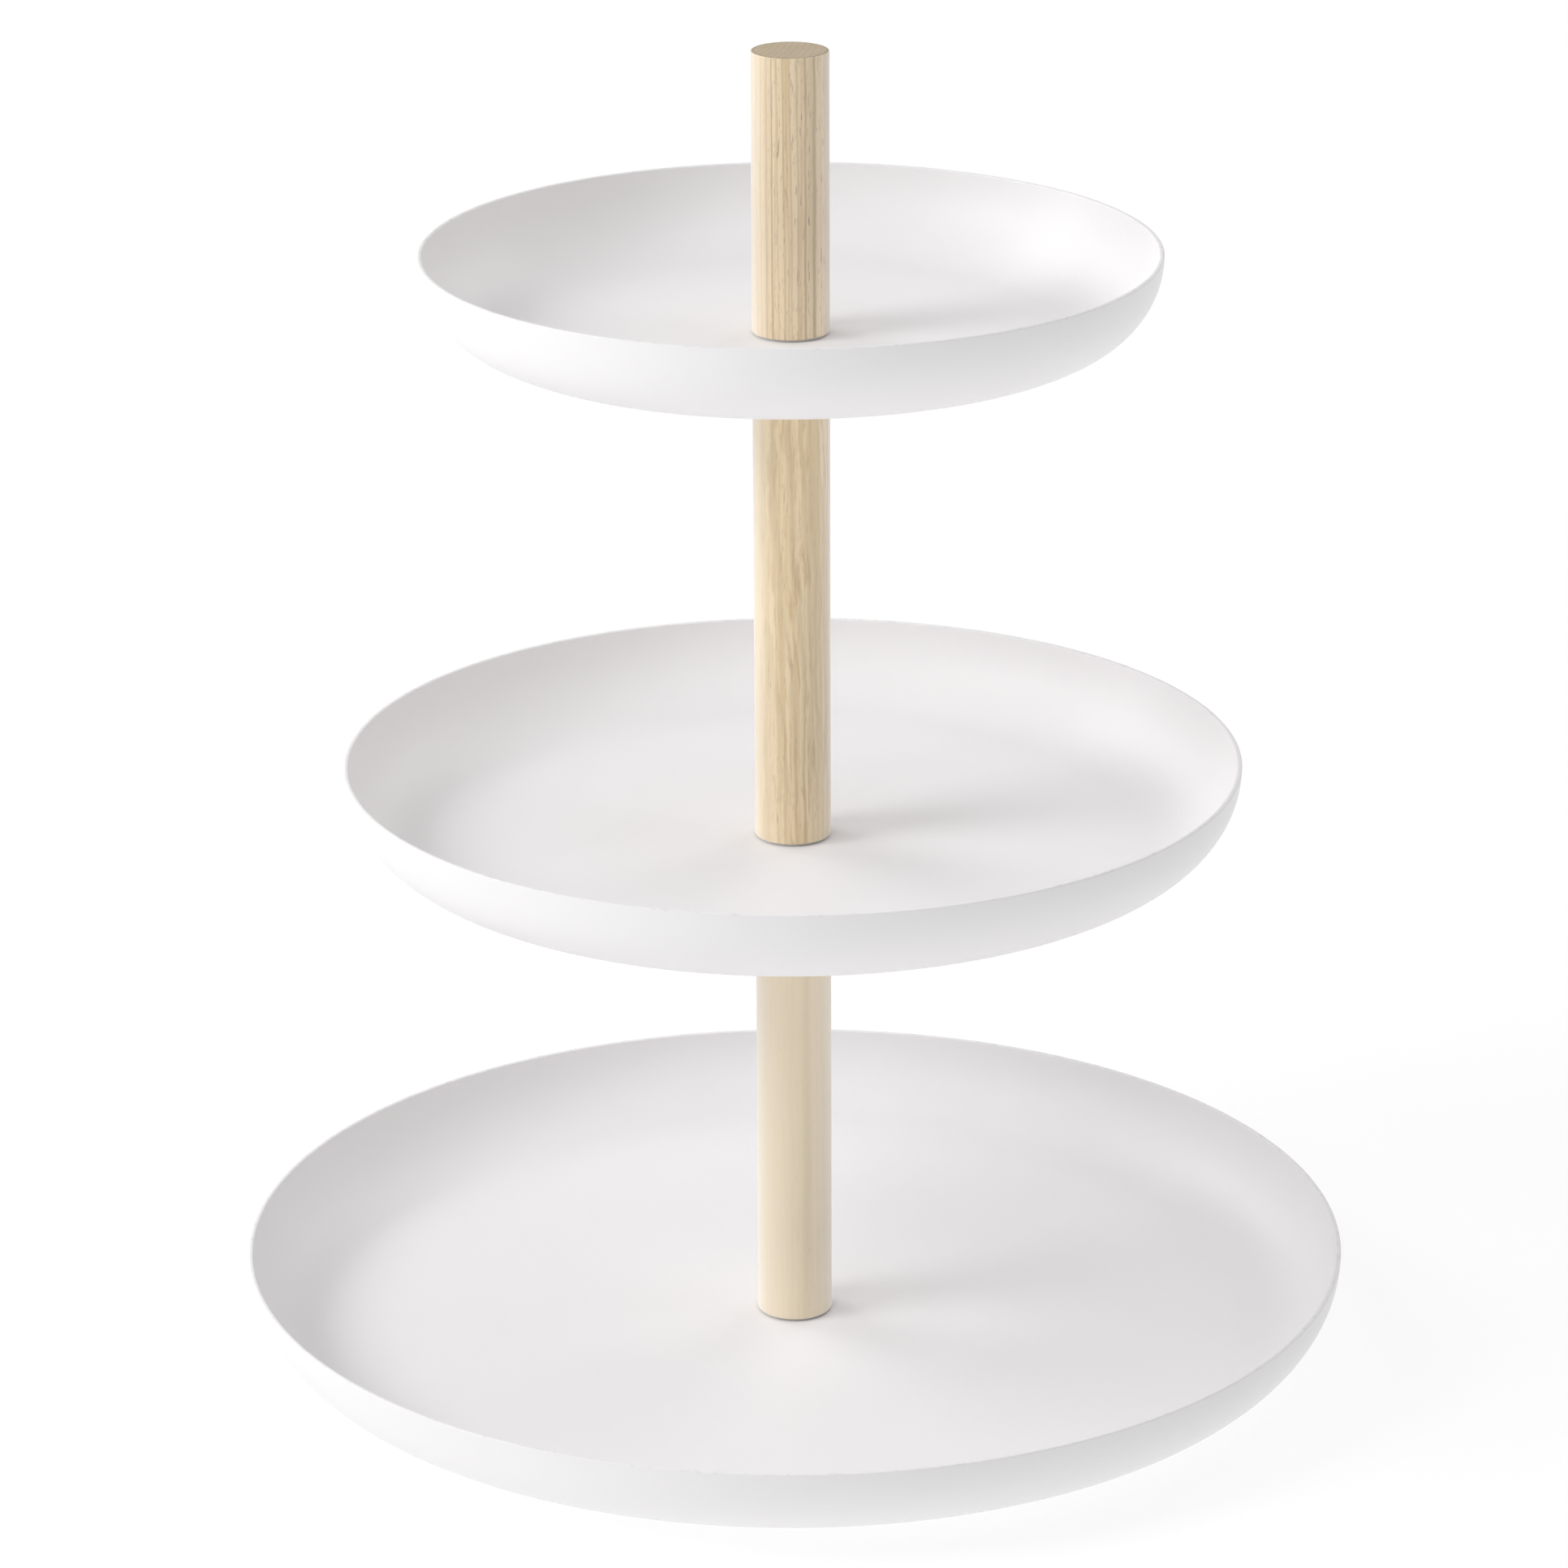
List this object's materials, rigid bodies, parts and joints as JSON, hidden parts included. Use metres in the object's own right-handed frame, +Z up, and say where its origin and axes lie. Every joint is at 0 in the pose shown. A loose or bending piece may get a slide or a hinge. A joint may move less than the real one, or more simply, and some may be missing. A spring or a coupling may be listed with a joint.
{
  "type": "tiered cake stand",
  "caption": "Free-standing tiered cake stand: round upturned-rim trays of falling size held on a central screwed wooden post, for serving cakes and pastries.",
  "frame": {"origin": "centre of the footprint, on the table top under the rubber feet", "axes": "+Z up along the post; the stand is round, so +X and +Y only set where the feet lie, on the diagonals"},
  "size_m": [0.28, 0.28, 0.3342],
  "materials": {
    "white_coating": "matte white powder coating on sheet steel",
    "lower_wood": "pale, plain-grained, lightly oiled",
    "middle_wood": "pale, wavy-grained, lightly oiled",
    "upper_wood": "pale, straight open grain, lightly oiled",
    "zinc_steel": "bright zinc plated",
    "insert_brass": "machined",
    "seat_rubber": "matte pale grey rubber",
    "clear_rubber": "soft translucent bumper"
  },
  "bodies": {
    "base": {"bottom_tray": "white_coating", "base_screw": "zinc_steel", "base_washer": "zinc_steel", "foot_1": "clear_rubber", "foot_2": "clear_rubber", "foot_3": "clear_rubber", "foot_4": "clear_rubber"},
    "lower_carrier": {"lower_post_seat": "seat_rubber"},
    "lower_column": {"lower_post": "lower_wood", "lower_insert": "insert_brass", "lower_stud": "zinc_steel", "middle_tray_seat": "seat_rubber"},
    "middle_shelf": {"middle_tray": "white_coating"},
    "middle_carrier": {"middle_post_seat": "seat_rubber"},
    "middle_column": {"middle_post": "middle_wood", "middle_insert": "insert_brass", "middle_stud": "zinc_steel", "top_tray_seat": "seat_rubber"},
    "top_shelf": {"top_tray": "white_coating"},
    "upper_carrier": {"upper_post_seat": "seat_rubber"},
    "upper_column": {"upper_post": "upper_wood", "upper_insert": "insert_brass"}
  },
  "joints": [
    {"name": "lower_post_rise", "type": "slide", "parent": "base", "child": "lower_carrier", "axis": [0, 0, 1], "range_m": [0, 0.01]},
    {"name": "lower_post_turn", "type": "hinge", "parent": "lower_carrier", "child": "lower_column", "pos_m": [0, 0, 0.0047], "axis": [0, 0, 1], "range_deg": [0, 3600]},
    {"name": "middle_tray_turn", "type": "hinge", "parent": "lower_column", "child": "middle_shelf", "pos_m": [0, 0, 0.133], "axis": [0, 0, 1], "continuous": true},
    {"name": "middle_post_rise", "type": "slide", "parent": "lower_column", "child": "middle_carrier", "axis": [0, 0, 1], "range_m": [0, 0.01]},
    {"name": "middle_post_turn", "type": "hinge", "parent": "middle_carrier", "child": "middle_column", "pos_m": [0, 0, 0.1347], "axis": [0, 0, 1], "range_deg": [0, 3600]},
    {"name": "top_tray_turn", "type": "hinge", "parent": "middle_column", "child": "top_shelf", "pos_m": [0, 0, 0.263], "axis": [0, 0, 1], "continuous": true},
    {"name": "upper_post_rise", "type": "slide", "parent": "middle_column", "child": "upper_carrier", "axis": [0, 0, 1], "range_m": [0, 0.01]},
    {"name": "upper_post_turn", "type": "hinge", "parent": "upper_carrier", "child": "upper_column", "pos_m": [0, 0, 0.2647], "axis": [0, 0, 1], "range_deg": [0, 3600]}
  ],
  "couplings": [
    {"joint": "lower_post_turn", "follows": "lower_post_rise", "rad_per_m": 6283.2},
    {"joint": "middle_post_turn", "follows": "middle_post_rise", "rad_per_m": 6283.2},
    {"joint": "upper_post_turn", "follows": "upper_post_rise", "rad_per_m": 6283.2}
  ]
}
